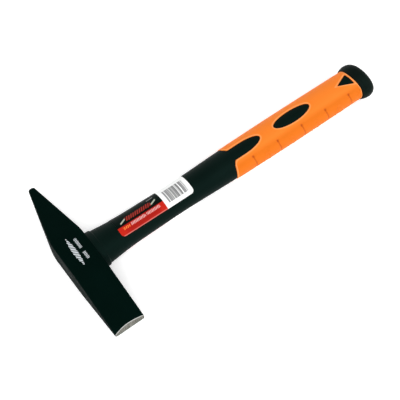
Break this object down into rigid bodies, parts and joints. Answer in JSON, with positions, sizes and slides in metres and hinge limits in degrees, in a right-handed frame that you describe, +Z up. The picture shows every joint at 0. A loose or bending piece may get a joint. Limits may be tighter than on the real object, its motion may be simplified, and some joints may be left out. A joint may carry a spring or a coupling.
{
  "type": "chipping hammer",
  "caption": "Forged hammer with a pointed pick and a straight chisel edge on a moulded fibreglass handle with a soft grip sleeve and a flared butt cap.",
  "frame": {"origin": "on the lower cheek of the head, under the middle of the eye, with the hammer lying on its side", "axes": "+X along the handle from the head to the butt, +Y toward the pick point, +Z up out of the upper cheek"},
  "size_m": [0.3147, 0.1507, 0.027],
  "materials": {
    "painted_steel": "satin black paint, bare ground steel at the chisel bevels",
    "eye_resin": "cast dark epoxy",
    "glass_fibre": "pultruded glass fibre",
    "jacket_plastic": "fine matt moulded",
    "grip_rubber": "soft matt overmould",
    "cap_plastic": "fine matt moulded",
    "label_film": "printed film"
  },
  "bodies": {
    "root": {"hammer_head": "painted_steel", "eye_resin": "eye_resin", "fibreglass_rod": "glass_fibre", "handle_jacket": "jacket_plastic", "grip_sleeve": "grip_rubber", "end_cap": "cap_plastic", "wrap_label": "label_film"}
  },
  "joints": []
}
